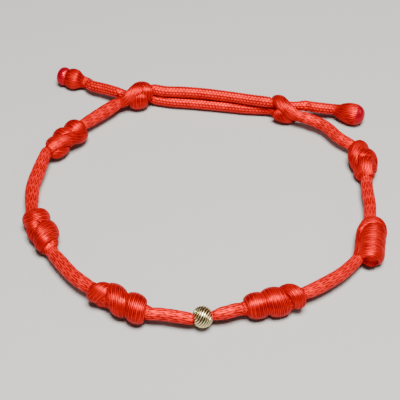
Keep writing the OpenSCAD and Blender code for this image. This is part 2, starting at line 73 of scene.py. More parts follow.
# Satin cord: the weave is raised in the mesh, its colour and fine fibres are in the material; the colour
# follows the relief, with painted shade in the gaps and a painted highlight on the crests
satinSettings = {
    # gap is painted shade in the weave's gaps, crestHighlight a painted highlight on the raised stitches
    "gap": (0.06, 0.0, 0.0, 1.0),
    "thread": (0.40, 0.001, 0.003, 1.0),
    "crestHighlight": (0.90, 0.006, 0.005, 1.0),
    "melted": (0.40, 0.001, 0.016, 1.0),
    "gapLevel": 0.10,
    "threadLevel": 0.62,
    "fibreScale": (190.0, 11.0, 1.0),  # across, along
    "fibreDetail": 2.0,
    "fibreShare": 0.5,
    "cloudScale": 420.0,
    "cloudDetail": 3.0,
    "cloudShare": 0.5,
    "cloudRoughness": 0.25,
    "roughness": 0.42,
    "meltedRoughness": 0.24,
    "fibreHeight": 0.06,  # mm
    "tint": (1.0, 0.10, 0.06, 1.0),
    "specular": 0.50,
}
plainSatinSettings = {
    "contrast": 0.70, "brightness": 0.95, "bump": 0.6, "metallic": 0.36, "anisotropy": 0.2,
}
# the wound satin has a lower brightness than the plain satin: painted shade on the knots
woundSatinSettings = {
    "contrast": 0.70, "brightness": 0.82, "bump": 0.8, "metallic": 0.55, "anisotropy": 0.5,
}


def newGroup(name, inputs, outputs):
    group = bpy.data.node_groups.new(name, "ShaderNodeTree")
    for label, kind, value in inputs:
        socket = group.interface.new_socket(name=label, in_out="INPUT", socket_type=kind)
        socket.default_value = value
    for label, kind in outputs:
        group.interface.new_socket(name=label, in_out="OUTPUT", socket_type=kind)
    start = group.nodes.new("NodeGroupInput")
    end = group.nodes.new("NodeGroupOutput")
    return group, start, end


def mathNode(nodes, links, operation, first, second, third=None):
    node = nodes.new("ShaderNodeMath")
    node.operation = operation
    for place, value in enumerate((first, second, third)):
        if value is None:
            continue
        if isinstance(value, (int, float)):
            node.inputs[place].default_value = value
        else:
            links.new(value, node.inputs[place])
    return node.outputs[0]


def mixColours(nodes, links, factor, first, second):
    node = nodes.new("ShaderNodeMix")
    node.data_type = "RGBA"
    for place, value in ((0, factor), (6, first), (7, second)):
        if isinstance(value, (int, float, tuple)):
            node.inputs[place].default_value = value
        else:
            links.new(value, node.inputs[place])
    return node.outputs[2]


# noise round 0, its whole range as wide as the share
def centredNoise(nodes, links, noise, share):
    return mathNode(nodes, links, "MULTIPLY_ADD", noise.outputs["Fac"], share, -share / 2)


def satinThreadGroup(settings):
    group, start, end = newGroup(
        "satinThread",
        [
            ("Relief", "NodeSocketFloat", 1.0),
            ("Melt", "NodeSocketFloat", 0.0),
            ("Contrast", "NodeSocketFloat", 1.0),
            ("Brightness", "NodeSocketFloat", 0.85),
            ("Map", "NodeSocketVector", (0.0, 0.0, 0.0)),
            ("Place", "NodeSocketVector", (0.0, 0.0, 0.0)),
        ],
        [
            ("Colour", "NodeSocketColor"),
            ("Roughness", "NodeSocketFloat"),
            ("Height", "NodeSocketFloat"),
        ],
    )
    nodes, links = group.nodes, group.links

    # fine fibres run along the cord
    stretchMap = nodes.new("ShaderNodeMapping")
    stretchMap.inputs["Scale"].default_value = settings["fibreScale"]
    links.new(start.outputs["Map"], stretchMap.inputs["Vector"])
    fibre = nodes.new("ShaderNodeTexNoise")
    fibre.inputs["Scale"].default_value = 1.0
    fibre.inputs["Detail"].default_value = settings["fibreDetail"]
    links.new(stretchMap.outputs["Vector"], fibre.inputs["Vector"])

    # broad changes of tone from place to place
    cloud = nodes.new("ShaderNodeTexNoise")
    cloud.inputs["Scale"].default_value = settings["cloudScale"]
    cloud.inputs["Detail"].default_value = settings["cloudDetail"]
    links.new(start.outputs["Place"], cloud.inputs["Vector"])

    # the relief picks the colour from this ramp: painted shade in the gaps, the thread colour between, a
    # painted highlight on the crests; Contrast sets how strong this painted light is
    ramp = nodes.new("ShaderNodeValToRGB")
    ramp.color_ramp.elements[0].position = settings["gapLevel"]
    ramp.color_ramp.elements[0].color = settings["gap"]
    ramp.color_ramp.elements[1].position = 1.0
    ramp.color_ramp.elements[1].color = settings["crestHighlight"]
    middle = ramp.color_ramp.elements.new(settings["threadLevel"])
    middle.color = settings["thread"]
    ruffled = centredNoise(nodes, links, fibre, settings["fibreShare"])
    clouded = centredNoise(nodes, links, cloud, settings["cloudShare"])
    lowered = mathNode(nodes, links, "SUBTRACT", start.outputs["Relief"], 1.0)
    level = mathNode(
        nodes, links, "MULTIPLY_ADD", lowered, start.outputs["Contrast"], start.outputs["Brightness"],
    )
    level = mathNode(nodes, links, "ADD", level, ruffled)
    level = mathNode(nodes, links, "ADD", level, clouded)
    links.new(level, ramp.inputs["Fac"])

    colour = mixColours(nodes, links, start.outputs["Melt"], ramp.outputs["Color"], settings["melted"])
    links.new(colour, end.inputs["Colour"])
    softness = mathNode(
        nodes, links, "MULTIPLY_ADD", start.outputs["Melt"],
        settings["meltedRoughness"] - settings["roughness"], settings["roughness"],
    )
    softness = mathNode(nodes, links, "MULTIPLY_ADD", clouded, settings["cloudRoughness"], softness)
    links.new(softness, end.inputs["Roughness"])
    unmelted = mathNode(nodes, links, "SUBTRACT", 1.0, start.outputs["Melt"])
    height = mathNode(nodes, links, "MULTIPLY", fibre.outputs["Fac"], unmelted)
    links.new(height, end.inputs["Height"])
    return group


def satinMaterial(name, group, finish, settings):
    material = bpy.data.materials.new(name)
    material.use_nodes = True
    nodes, links = material.node_tree.nodes, material.node_tree.links
    shader = nodes["Principled BSDF"]
    shader.inputs["Metallic"].default_value = finish["metallic"]
    shader.inputs["Specular Tint"].default_value = settings["tint"]
    shader.inputs["Specular IOR Level"].default_value = settings["specular"]
    shader.inputs["Anisotropic"].default_value = finish["anisotropy"]
    acrossFibres = nodes.new("ShaderNodeTangent")
    acrossFibres.direction_type = "UV_MAP"
    acrossFibres.uv_map = "weaveMap"
    links.new(acrossFibres.outputs["Tangent"], shader.inputs["Tangent"])
    thread = nodes.new("ShaderNodeGroup")
    thread.node_tree = group
    thread.inputs["Contrast"].default_value = finish["contrast"]
    thread.inputs["Brightness"].default_value = finish["brightness"]
    for attribute, socket in (("relief", "Relief"), ("melt", "Melt")):
        reader = nodes.new("ShaderNodeAttribute")
        reader.attribute_name = attribute
        links.new(reader.outputs["Fac"], thread.inputs[socket])
    weaveMap = nodes.new("ShaderNodeUVMap")
    weaveMap.uv_map = "weaveMap"
    links.new(weaveMap.outputs["UV"], thread.inputs["Map"])
    place = nodes.new("ShaderNodeTexCoord")
    links.new(place.outputs["Object"], thread.inputs["Place"])
    links.new(thread.outputs["Colour"], shader.inputs["Base Color"])
    links.new(thread.outputs["Roughness"], shader.inputs["Roughness"])
    ridge = nodes.new("ShaderNodeBump")
    ridge.inputs["Strength"].default_value = finish["bump"]
    ridge.inputs["Distance"].default_value = settings["fibreHeight"] * millimetre
    links.new(thread.outputs["Height"], ridge.inputs["Height"])
    links.new(ridge.outputs["Normal"], shader.inputs["Normal"])
    return material


satinThread = satinThreadGroup(satinSettings)
plainSatin = satinMaterial("plainSatin", satinThread, plainSatinSettings, satinSettings)
woundSatin = satinMaterial("woundSatin", satinThread, woundSatinSettings, satinSettings)
print("satin made")


# Weaves, in mm: width and length of a stitch, how far it leans, how deep the gaps are, how far a
# stitch falls at its ends, and the points across it
plainWeave = {"width": 0.34, "stitch": 2.0, "lean": 0.55, "depth": 0.085, "dip": 0.35, "perColumn": 4}
ribbedWeave = {"width": 0.50, "stitch": 0.62, "lean": 0.15, "depth": 0.085, "dip": 0.9, "perColumn": 4}
woundWeave = {"width": 0.30, "stitch": 3.6, "lean": 0.25, "depth": 0.07, "dip": 0.35, "perColumn": 4}

# Every stitch: each column is shifted a little, and the relief's skin level lies on the strand's size
stitchSettings = {
    "shift": 0.12, "shiftTurn": 12.99, "endSharpness": 4, "skinLevel": 0.6,
    "leastColumnPairs": 4, "sectionPoints": 721,
}

# Columns of a strand's rows: place along the knot's axis, turn round it from the top in degrees
# (90 on the right of the heading), distance from it, width along the skin, thickness
alongColumn, turnColumn, awayColumn, wideColumn, thickColumn = range(5)

# A turn round a knot: both ends sink under the rest, and get narrower and thinner
turnSettings = {"halfRings": 6, "sunkRings": 2, "depth": 0.4, "narrowing": 0.2, "thinning": 0.3}


def wrapped(along, turn, reach, pitch, away, wide, thick, settings=turnSettings):
    half, sunkRings = settings["halfRings"], settings["sunkRings"]
    rows = []
    for ring in range(-half, half + 1):
        off = reach * ring / half
        sunk = max(0, abs(ring) - half + sunkRings) / sunkRings
        rows.append((
            along + pitch * off / 360,
            turn + off,
            away - settings["depth"] * sunk,
            wide * (1 - settings["narrowing"] * sunk),
            thick * (1 - settings["thinning"] * sunk),
        ))
    return rows


# a smooth curve through all the rows, its points no further apart than a step
def smoothed(rows, gaps, step):
    rows = np.array(rows, float)
    led = np.vstack((2 * rows[0] - rows[1], rows, 2 * rows[-1] - rows[-2]))
    parts = []
    for index, gap in enumerate(gaps):
        count = max(1, ceil(gap / step))
        u = (np.arange(count) / count)[:, None]
        a, b, c, d = led[index:index + 4]
        parts.append(0.5 * (
            2 * b + (c - a) * u + (2 * a - 5 * b + 4 * c - d) * u**2 + (3 * b - a - 3 * c + d) * u**3
        ))
    parts.append(rows[-1:])
    return np.vstack(parts)


# turned about the vertical to a knot's heading
def headed(points, heading):
    c, s = cos(radians(heading)), sin(radians(heading))
    return points @ np.array(((c, s, 0.0), (-s, c, 0.0), (0.0, 0.0, 1.0)))


def knotPath(rows, place, step):
    rows = np.array(rows, float)
    change = np.diff(rows, axis=0)
    swept = np.radians(np.abs(change[:, turnColumn])) * (rows[1:, awayColumn] + rows[:-1, awayColumn]) / 2
    gaps = np.sqrt(change[:, alongColumn] ** 2 + change[:, awayColumn] ** 2 + swept**2)
    fine = smoothed(rows, gaps, step)
    turned = np.radians(fine[:, turnColumn])
    outs = np.stack((0 * turned, -np.sin(turned), np.cos(turned)), axis=1)
    points = outs * fine[:, awayColumn:awayColumn + 1]
    points[:, 0] += fine[:, alongColumn]
    points = headed(points, place["heading"]) + np.array(place["middle"])
    return points, headed(outs, place["heading"]), fine[:, wideColumn], fine[:, thickColumn]


def plainPath(rows, step):
    rows = np.array(rows, float)
    gaps = np.linalg.norm(np.diff(rows[:, :3], axis=0), axis=1)
    fine = smoothed(rows, gaps, step)
    outs = np.tile((0.0, 0.0, 1.0), (len(fine), 1))
    return fine[:, :3], outs, fine[:, 3], fine[:, 3]


def unitRows(vectors):
    return vectors / np.linalg.norm(vectors, axis=1)[:, None]


# height of the weave, 0 in the gaps and 1 on the crests
def reliefOf(column, run, weave):
    number = np.floor(column)
    odd = np.mod(number, 2)
    across = column - number - 0.5
    shift = stitchSettings["shift"] * np.sin(number * stitchSettings["shiftTurn"])
    row = run / weave["stitch"] + 0.5 * odd + shift
    part = row - np.floor(row) - 0.5
    across = across + weave["lean"] * part * (1 - 2 * odd)
    ridge = np.sqrt(np.clip(1 - (2 * across) ** 2, 0, 1))
    return ridge * (1 - weave["dip"] * np.abs(2 * part) ** stitchSettings["endSharpness"])


def sweptTube(path, weave, melt=None):
    points, outs, wide, thick = path
    run = np.concatenate(((0.0,), np.cumsum(np.linalg.norm(np.diff(points, axis=0), axis=1))))
    ahead = unitRows(np.gradient(points, axis=0))
    out = unitRows(outs - np.sum(outs * ahead, axis=1)[:, None] * ahead)
    side = np.cross(out, ahead)

    # an oval section, its points equally far apart
    dense = np.linspace(0, 2 * np.pi, stitchSettings["sectionPoints"])
    ovalX = np.cos(dense) * wide.mean() / 2
    ovalY = np.sin(dense) * thick.mean() / 2
    length = np.concatenate(((0.0,), np.cumsum(np.hypot(np.diff(ovalX), np.diff(ovalY)))))
    columns = 2 * max(stitchSettings["leastColumnPairs"], round(length[-1] / weave["width"] / 2))
    around = columns * weave["perColumn"]
    angle = np.interp(np.arange(around) / around * length[-1], length, dense)
    px = np.cos(angle)[None, :] * wide[:, None] / 2
    py = np.sin(angle)[None, :] * thick[:, None] / 2
    skinX = np.roll(py, -1, axis=1) - np.roll(py, 1, axis=1)
    skinY = np.roll(px, 1, axis=1) - np.roll(px, -1, axis=1)
    skin = np.hypot(skinX, skinY)

    column = np.arange(around)[None, :] / weave["perColumn"] + 0 * run[:, None]
    relief = reliefOf(column, run[:, None] + 0 * column, weave)
    melted = np.zeros(len(run)) if melt is None else melt
    relief = relief + (1 - relief) * melted[:, None]
    sunk = (relief - stitchSettings["skinLevel"]) * weave["depth"]
    px = px + skinX / skin * sunk
    py = py + skinY / skin * sunk
    rings = points[:, None, :] + px[:, :, None] * side[:, None, :] + py[:, :, None] * out[:, None, :]
    return {
        "rings": rings, "relief": relief, "melt": np.repeat(melted[:, None], around, axis=1),
        "run": run, "perimeter": length[-1], "ends": (points[0], points[-1]),
    }


mapScale = 0.1  # of the weave map, for each mm


def makePiece(name, node, tubes, material):
    vertices, relief, melt, faces, maps = [], [], [], [], []
    base = 0
    for tube in tubes:
        count, around, _ = tube["rings"].shape
        vertices.append(tube["rings"].reshape(-1, 3))
        vertices.append(np.array(tube["ends"]))
        relief += [tube["relief"].ravel(), (1.0, 1.0)]
        melt += [tube["melt"].ravel(), (tube["melt"][0, 0], tube["melt"][-1, 0])]
        ring, place = np.meshgrid(np.arange(count - 1), np.arange(around), indexing="ij")
        after = (place + 1) % around
        a, b = ring * around + place + base, ring * around + after + base
        quads = np.stack((a, b, b + around, a + around), axis=2).reshape(-1, 4)
        faces += quads.tolist()
        u0, u1 = place / around * tube["perimeter"], (place + 1) / around * tube["perimeter"]
        v0, v1 = tube["run"][ring], tube["run"][ring + 1]
        maps.append(np.stack((u0, v0, u1, v0, u1, v1, u0, v1), axis=2).ravel())
        first, last = base + count * around, base + count * around + 1
        start = base + (count - 1) * around
        for k in range(around):
            after = (k + 1) % around
            faces.append((first, base + after, base + k))
            faces.append((last, start + k, start + after))
        maps.append(np.zeros(2 * 3 * 2 * around))  # two fans of triangles, their corners at one point
        base += count * around + 2
    mesh = bpy.data.meshes.new(name)
    mesh.from_pydata((np.vstack(vertices) * millimetre).tolist(), [], faces)
    layer = mesh.uv_layers.new(name="weaveMap")
    layer.data.foreach_set("uv", np.concatenate(maps) * mapScale)
    for label, values in (("relief", relief), ("melt", melt)):
        attribute = mesh.attributes.new(label, "FLOAT", "POINT")
        attribute.data.foreach_set("value", np.concatenate(values))
    mesh.polygons.foreach_set("use_smooth", np.ones(len(faces), bool))
    mesh.materials.append(material)
    mesh.update()
    piece = bpy.data.objects.new(name, mesh)
    bpy.context.scene.collection.objects.link(piece)
    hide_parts(node)
    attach(piece, "root")
    return piece


# Knots: the middle and heading of each, the node it stands for, and its strands, core first
frontLeftKnot = {
    "middle": (-13.5, -23.9, 2.44), "heading": -28, "node": "knot_front_left",
    "strands": [
        [
            (-4.9, -45, 0.3, 2.06, 2.06), (-4.0, -45, 0.2, 2.3, 2.3), (-2.8, -45, 0.0, 3.0, 3.0),
            (-1.0, -45, 0.0, 3.4, 3.4), (3.4, -45, 0.0, 3.4, 3.4), (4.5, -90, 0.0, 2.7, 2.7),
            (5.1, -90, 0.1, 2.3, 2.3), (5.8, -90, 0.15, 2.06, 2.06),
        ],
        [
            (2.2, -150, 0.95, 2.9, 1.7), (2.5, -110, 1.20, 3.2, 2.0), (2.7, -60, 1.32, 3.4, 2.1),
            (3.1, -20, 1.40, 3.6, 2.2), (3.5, 20, 1.40, 3.6, 2.2), (3.8, 60, 1.40, 3.5, 2.2),
            (3.8, 110, 1.35, 3.3, 2.1), (3.7, 160, 0.95, 2.9, 1.7),
        ],
        [
            (-1.9, -150, 0.95, 2.9, 1.7), (-1.6, -110, 1.30, 3.3, 2.1), (-1.1, -60, 1.40, 3.5, 2.2),
            (-0.5, -20, 1.40, 3.5, 2.2), (0.3, 20, 1.40, 3.5, 2.2), (0.9, 60, 1.40, 3.5, 2.2),
            (1.2, 110, 1.35, 3.3, 2.1), (1.4, 160, 0.95, 2.9, 1.7),
        ],
        [
            (-4.0, 130, 0.80, 1.8, 1.3), (-3.8, 85, 1.20, 2.4, 1.7), (-3.1, 35, 1.40, 2.8, 1.7),
            (-2.4, -15, 1.40, 2.8, 1.7), (-1.6, -60, 1.10, 2.3, 1.5),
        ],
        [
            (-2.0, -110, 0.95, 2.4, 1.6), (-2.4, -160, 1.20, 2.8, 1.6), (-2.7, -210, 1.20, 2.8, 1.6),
            (-3.2, -260, 0.85, 2.2, 1.4),
        ],
    ],
}
frontRightKnot = {
    "middle": (11.3, -24.1, 2.36), "heading": 14, "node": "knot_front_right",
    "strands": [
        [
            (-5.4, 120, 0.05, 2.06, 2.06), (-4.6, 120, 0.05, 2.4, 2.4), (-3.2, 120, 0.0, 3.4, 3.4),
            (2.0, 120, 0.0, 3.4, 3.4), (3.2, 120, 0.0, 3.0, 3.0), (4.2, 120, -0.3, 2.4, 2.4),
            (5.0, 120, -0.5, 2.06, 2.06),
        ],
        wrapped(-2.9, 45, 165, 0.6, 1.20, 3.7, 1.95),
        wrapped(0.2, 45, 165, 1.6, 1.38, 3.9, 2.2),
        [
            (3.5, 145, 0.80, 1.8, 1.4), (3.6, 100, 1.10, 2.1, 1.7), (3.6, 62, 1.45, 2.3, 1.8),
            (3.4, 28, 1.75, 2.5, 1.9), (2.9, 0, 1.80, 2.5, 1.9), (2.3, -32, 1.70, 2.5, 1.8),
            (1.8, -75, 1.45, 2.6, 1.7), (1.4, -125, 1.20, 2.4, 1.6),
        ],
    ],
}
sideLeftKnot = {
    "middle": (-27.15, -8.5, 2.2), "heading": -68, "node": "knot_side_left",
    "strands": [
        [
            (-4.6, 60, 0.3, 2.06, 2.06), (-3.7, 60, 0.1, 2.9, 2.9), (-2.4, 60, 0.0, 3.4, 3.4),
            (2.9, 60, 0.0, 3.4, 3.4), (3.9, 60, -0.2, 3.0, 3.0), (4.7, 60, -0.35, 2.3, 2.3),
            (5.3, 60, -0.4, 2.06, 2.06),
        ],
        [
            (-2.9, -150, 1.00, 2.4, 1.6), (-2.9, -105, 1.35, 2.7, 1.9), (-2.6, -60, 1.45, 3.0, 2.0),
            (-2.1, -20, 1.45, 3.1, 2.0), (-2.1, 20, 1.45, 3.1, 2.0), (-2.7, 60, 1.45, 2.9, 2.0),
            (-3.1, 105, 1.35, 2.6, 1.9), (-3.1, 150, 1.00, 2.4, 1.6),
        ],
        [
            (-0.6, 10, 1.10, 2.6, 1.8), (-0.4, 50, 1.40, 3.2, 2.0), (-0.1, 90, 1.40, 3.4, 2.0),
            (0.4, 130, 1.25, 3.4, 1.9), (0.9, 170, 0.95, 3.0, 1.7),
        ],
        [
            (-0.4, -140, 1.10, 3.0, 1.8), (0.1, -108, 1.50, 3.4, 2.1), (0.8, -76, 1.70, 3.7, 2.2),
            (1.5, -42, 1.65, 3.9, 2.2), (2.1, -8, 1.50, 3.9, 2.1), (2.7, 26, 1.35, 3.7, 2.1),
            (3.0, 62, 1.15, 3.3, 2.0), (3.1, 100, 0.90, 2.8, 1.8),
        ],
        [
            (2.4, -120, 1.00, 2.0, 1.6), (3.0, -92, 1.25, 2.1, 1.6), (3.6, -64, 1.15, 2.0, 1.6),
            (4.0, -38, 0.70, 1.8, 1.4),
        ],
    ],
}
backLeftKnot = {
    "middle": (-25.05, 14.65, 2.34), "heading": -130, "node": "knot_back_left",
    "strands": [
        [
            (-4.4, -20, 0.3, 2.06, 2.06), (-3.4, -20, 0.2, 2.4, 2.4), (-2.0, -20, 0.0, 3.1, 3.1),
            (2.2, -20, 0.0, 3.1, 3.1), (3.7, -40, 0.6, 2.3, 2.2), (4.7, -50, 0.90, 2.1, 2.1),
            (5.6, -50, 1.00, 2.06, 2.06),
        ],
        wrapped(-2.6, -10, 155, 0.4, 1.20, 2.9, 2.0),
        wrapped(0.2, 10, 155, 0.8, 1.22, 2.8, 2.0),
        wrapped(2.4, -20, 140, 0.8, 0.90, 2.6, 1.7),
        [
            (-3.4, -150, 1.00, 2.2, 1.6), (-3.1, -120, 1.50, 2.4, 1.8), (-2.3, -95, 1.90, 2.4, 1.9),
            (-0.7, -70, 2.05, 2.3, 1.8), (1.0, -52, 1.95, 2.2, 1.8), (2.6, -44, 1.65, 2.1, 1.8),
            (3.9, -46, 1.25, 2.1, 1.8), (4.6, -50, 1.00, 2.1, 1.8),
        ],
        [
            (4.5, -82, 0.85, 1.8, 1.5), (3.9, -92, 1.45, 2.1, 1.7), (3.0, -100, 1.75, 2.2, 1.7),
            (1.8, -112, 1.65, 2.1, 1.7), (0.8, -135, 1.20, 2.0, 1.6),
        ],
    ],
}
sideRightKnot = {
    "middle": (28.1, -10.75, 1.94), "heading": 80, "node": "knot_side_right",
    "strands": [
        [
            (-4.50, 10, 0.55, 1.5, 1.2), (-4.35, 10, 0.55, 2.4, 2.0), (-4.0, 10, 0.45, 2.9, 2.6),
            (-3.6, 10, 0.20, 3.2, 3.1), (-3.0, 10, 0.0, 3.4, 3.4), (2.4, 90, 0.0, 3.3, 3.3),
            (3.9, 90, -0.4, 2.5, 2.5), (4.7, 90, -0.6, 2.06, 2.06),
        ],
        [
            (-2.2, -150, 1.00, 2.8, 1.6), (-2.4, -105, 1.50, 3.2, 1.6), (-2.9, -60, 1.55, 3.4, 1.6),
            (-3.1, -15, 1.55, 3.4, 1.6), (-3.1, 30, 1.55, 3.4, 1.6), (-2.8, 75, 1.55, 3.3, 1.6),
            (-2.4, 120, 1.50, 3.1, 1.6), (-2.2, 165, 1.00, 2.8, 1.6),
        ],
        wrapped(-1.6, 10, 160, 0.6, 1.55, 3.4, 1.55),
        wrapped(-0.1, 10, 160, 0.6, 1.55, 3.4, 1.55),
        wrapped(1.5, 10, 160, 0.6, 1.55, 3.4, 1.55),
        [
            (-4.6, -88, 2.15, 2.06, 2.06), (-3.8, -86, 2.05, 1.9, 1.7), (-2.4, -82, 2.08, 1.8, 1.3),
            (0.0, -80, 2.18, 1.8, 1.2), (1.8, -70, 2.15, 2.0, 1.2), (2.9, -40, 1.85, 2.3, 1.2),
            (3.3, 15, 1.55, 2.3, 1.3), (2.9, 60, 1.70, 2.1, 1.3), (1.9, 88, 1.80, 1.9, 1.2),
            (0.6, 100, 1.50, 1.8, 1.1),
        ],
    ],
}
backRightKnot = {
    "middle": (28.55, 8.45, 2.08), "heading": 106, "node": "knot_back_right",
    "strands": [
        [
            (-4.5, -90, 1.1, 2.06, 2.06), (-3.6, -90, 0.8, 2.5, 2.5), (-2.2, -90, 0.3, 3.2, 3.2),
            (2.0, -90, 0.0, 3.3, 3.3), (3.4, -90, 0.0, 2.7, 2.7), (4.4, -90, 0.0, 2.06, 2.06),
        ],
        [
            (-1.9, -160, 1.05, 2.6, 1.7), (-2.0, -115, 1.50, 2.9, 1.9), (-2.1, -75, 1.42, 2.8, 1.8),
            (-2.2, -35, 1.15, 2.6, 1.6), (-2.2, 5, 1.05, 2.6, 1.6), (-1.9, 45, 1.00, 2.7, 1.7),
            (-1.6, 85, 1.00, 2.8, 1.8), (-1.4, 130, 0.90, 2.6, 1.7),
        ],
        [
            (2.8, 100, 1.10, 2.4, 1.7), (2.9, 60, 1.35, 2.7, 1.9), (2.7, 20, 1.45, 2.9, 2.0),
            (2.0, -15, 1.45, 3.0, 2.0), (1.2, -45, 1.45, 3.1, 2.0), (0.3, -80, 1.35, 3.1, 2.0),
            (-0.5, -120, 1.20, 3.0, 1.9), (-1.0, -160, 0.95, 2.8, 1.7),
        ],
        [
            (-0.9, -30, 1.10, 2.3, 1.7), (-0.4, -5, 1.60, 2.5, 1.9), (0.2, 25, 1.80, 2.6, 1.9),
            (0.2, 55, 1.80, 2.6, 1.9), (-0.3, 85, 1.65, 2.6, 1.9), (-1.1, 120, 1.35, 2.6, 1.8),
            (-1.7, 160, 1.00, 2.5, 1.7),
        ],
        [
            (-0.2, 32, 1.20, 2.3, 1.7), (-0.9, 6, 1.60, 2.6, 1.8), (-1.8, -14, 1.60, 2.6, 1.8),
            (-2.8, -25, 1.35, 2.3, 1.7), (-3.6, -34, 0.95, 2.0, 1.6), (-4.2, -45, 0.65, 1.8, 1.5),
        ],
    ],
}
slideLeftKnot = {
    "middle": (-12.3, 26.4, 2.51), "heading": 7, "node": "slide_knot_left",
    "strands": [
        [
            (-1.6, 60, 0.6, 2.4, 2.2), (0.0, 60, 0.4, 3.2, 3.0), (1.6, 60, 0.4, 2.4, 2.2),
        ],
        [
            (-3.7, 90, 1.60, 2.06, 2.06), (-3.0, 82, 1.60, 2.1, 1.9), (-2.2, 66, 1.65, 2.3, 1.7),
            (-1.3, 44, 1.70, 2.5, 1.6), (-0.4, 18, 1.80, 2.6, 1.6), (0.4, -12, 1.95, 2.6, 1.6),
            (1.0, -48, 1.95, 2.6, 1.5), (1.3, -100, 1.75, 2.6, 1.5), (0.8, -165, 1.60, 2.6, 1.4),
        ],
        [
            (0.6, -50, 1.60, 2.3, 1.6), (1.2, -24, 1.85, 2.4, 1.6), (1.7, 2, 1.70, 2.4, 1.6),
            (1.8, 28, 1.45, 2.4, 1.6), (1.7, 52, 1.05, 2.2, 1.5), (1.3, 80, 0.70, 2.0, 1.4),
        ],
        [
            (0.8, -165, 1.50, 2.8, 1.6), (0.3, -215, 1.65, 3.2, 1.7), (0.0, -258, 1.75, 3.6, 1.8),
            (0.0, -295, 1.60, 3.6, 1.7), (0.2, -330, 1.30, 2.8, 1.5),
        ],
        [
            (-0.4, -10, 0.8, 2.0, 1.8), (1.2, -12, 0.9, 2.0, 1.8), (2.4, -14, 1.00, 1.95, 1.85),
            (3.3, -14, 1.08, 2.06, 2.06),
        ],
    ],
}
slideRightKnot = {
    "middle": (15.35, 22.65, 2.53), "heading": 168, "node": "slide_knot_right",
    "strands": [
        [
            (-1.4, -150, 0.6, 2.4, 2.2), (0.0, -150, 0.6, 3.2, 3.0), (1.4, -150, 0.6, 2.4, 2.2),
        ],
        [
            (-4.0, -84, 1.90, 2.06, 2.06), (-3.0, -82, 1.85, 2.1, 1.8), (-1.9, -73, 1.85, 2.3, 1.6),
            (-0.8, -56, 1.85, 2.5, 1.6), (0.1, -33, 1.85, 2.6, 1.6), (0.9, -5, 1.80, 2.7, 1.6),
            (1.3, 35, 1.75, 2.7, 1.5), (1.2, 95, 1.70, 2.7, 1.5), (0.6, 160, 1.60, 2.6, 1.4),
        ],
        [
            (1.5, -75, 1.30, 2.4, 1.5), (0.6, -100, 1.75, 2.8, 1.6), (-0.4, -135, 1.85, 2.9, 1.6),
            (-1.0, -180, 1.75, 2.8, 1.5), (-1.3, -225, 1.30, 2.4, 1.4),
        ],
        [
            (-0.4, 170, 0.8, 2.0, 1.8), (1.2, 165, 0.9, 2.0, 1.8), (2.2, 158, 1.05, 1.95, 1.85),
            (3.1, 152, 1.20, 2.06, 2.06),
        ],
    ],
}
knots = {
    "frontLeftKnot": frontLeftKnot, "sideLeftKnot": sideLeftKnot, "backLeftKnot": backLeftKnot,
    "frontRightKnot": frontRightKnot, "sideRightKnot": sideRightKnot, "backRightKnot": backRightKnot,
    "slideLeftKnot": slideLeftKnot, "slideRightKnot": slideRightKnot,
}
# Rings of a swept strand, mm apart
ringStep = {"knot": 0.3, "stopper": 0.12, "knotEnd": 0.4, "plain": 0.2, "running": 0.11, "passing": 1.3}

for name, knot in knots.items():
    paths = [knotPath(strand, knot, ringStep["knot"]) for strand in knot["strands"]]
    tubes = [sweptTube(paths[0], plainWeave)]
    tubes += [sweptTube(path, woundWeave) for path in paths[1:]]
    makePiece(name, knot["node"], tubes, woundSatin)
print("knots tied")


# Stopper knots: a round knot, its tip melted to a button
endLeftKnot = {
    "middle": (-24.5, 32.0, 2.02), "heading": 157, "node": "end_knot_left", "meltFrom": 1.65,
    "strands": [
        [
            (-2.6, 140, 0.7, 2.06, 2.06), (-1.6, 140, 0.4, 2.2, 2.2), (-1.0, 140, 0.2, 2.8, 2.7),
            (-0.3, 140, 0.0, 3.7, 3.6), (0.6, 140, 0.0, 3.9, 3.8), (1.3, 140, 0.0, 3.6, 3.5),
            (1.65, 140, 0.0, 2.95, 2.9), (1.95, 140, 0.0, 3.3, 3.2), (2.5, 140, 0.0, 3.5, 3.4),
            (3.05, 140, 0.0, 3.2, 3.1), (3.45, 140, 0.0, 2.5, 2.4), (3.7, 140, 0.0, 1.3, 1.2),
        ],
    ],
}
endRightKnot = {
    "middle": (27.6, 21.85, 2.08), "heading": -20, "node": "end_knot_right", "meltFrom": 1.0,
    "strands": [
        [
            (-3.3, -40, 0.05, 2.06, 2.06), (-2.7, -40, 0.05, 2.2, 2.2), (-2.1, -40, 0.0, 2.7, 2.7),
            (-1.3, -40, 0.0, 3.4, 3.4), (-0.3, -40, 0.0, 3.9, 3.9), (0.6, -40, 0.0, 4.0, 4.0),
            (1.4, -40, 0.0, 3.7, 3.7), (2.0, -40, 0.0, 3.05, 3.0), (2.4, -40, 0.0, 2.2, 2.1),
            (2.6, -40, 0.0, 1.2, 1.1),
        ],
    ],
}
meltBlend = 0.5  # mm over which the melted tip begins
for name, knot in {"endLeftKnot": endLeftKnot, "endRightKnot": endRightKnot}.items():
    path = knotPath(knot["strands"][0], knot, ringStep["stopper"])
    axis = headed(np.array(((1.0, 0.0, 0.0),)), knot["heading"])[0]
    reach = (path[0] - np.array(knot["middle"])) @ axis
    melt = np.clip((reach - knot["meltFrom"]) / meltBlend, 0, 1)
    makePiece(name, knot["node"], [sweptTube(path, woundWeave, melt)], woundSatin)
print("stopper knots tied")


# Plain stretches: points of the cord between two knots, x, y, z and diameter in mm
cordDiameter = 2.0
buriedEnd = 0.5  # mm that a stretch runs on inside the pieces at its ends


# where a strand, by its number in the knot, leaves it, and the way it points there
def knotEnd(knot, strand, last):
    points, _, _, _ = knotPath(knot["strands"][strand], knot, ringStep["knotEnd"])
    if last:
        return points[-1], unitRows(points[-1:] - points[-2:-1])[0]
    return points[0], unitRows(points[:1] - points[1:2])[0]


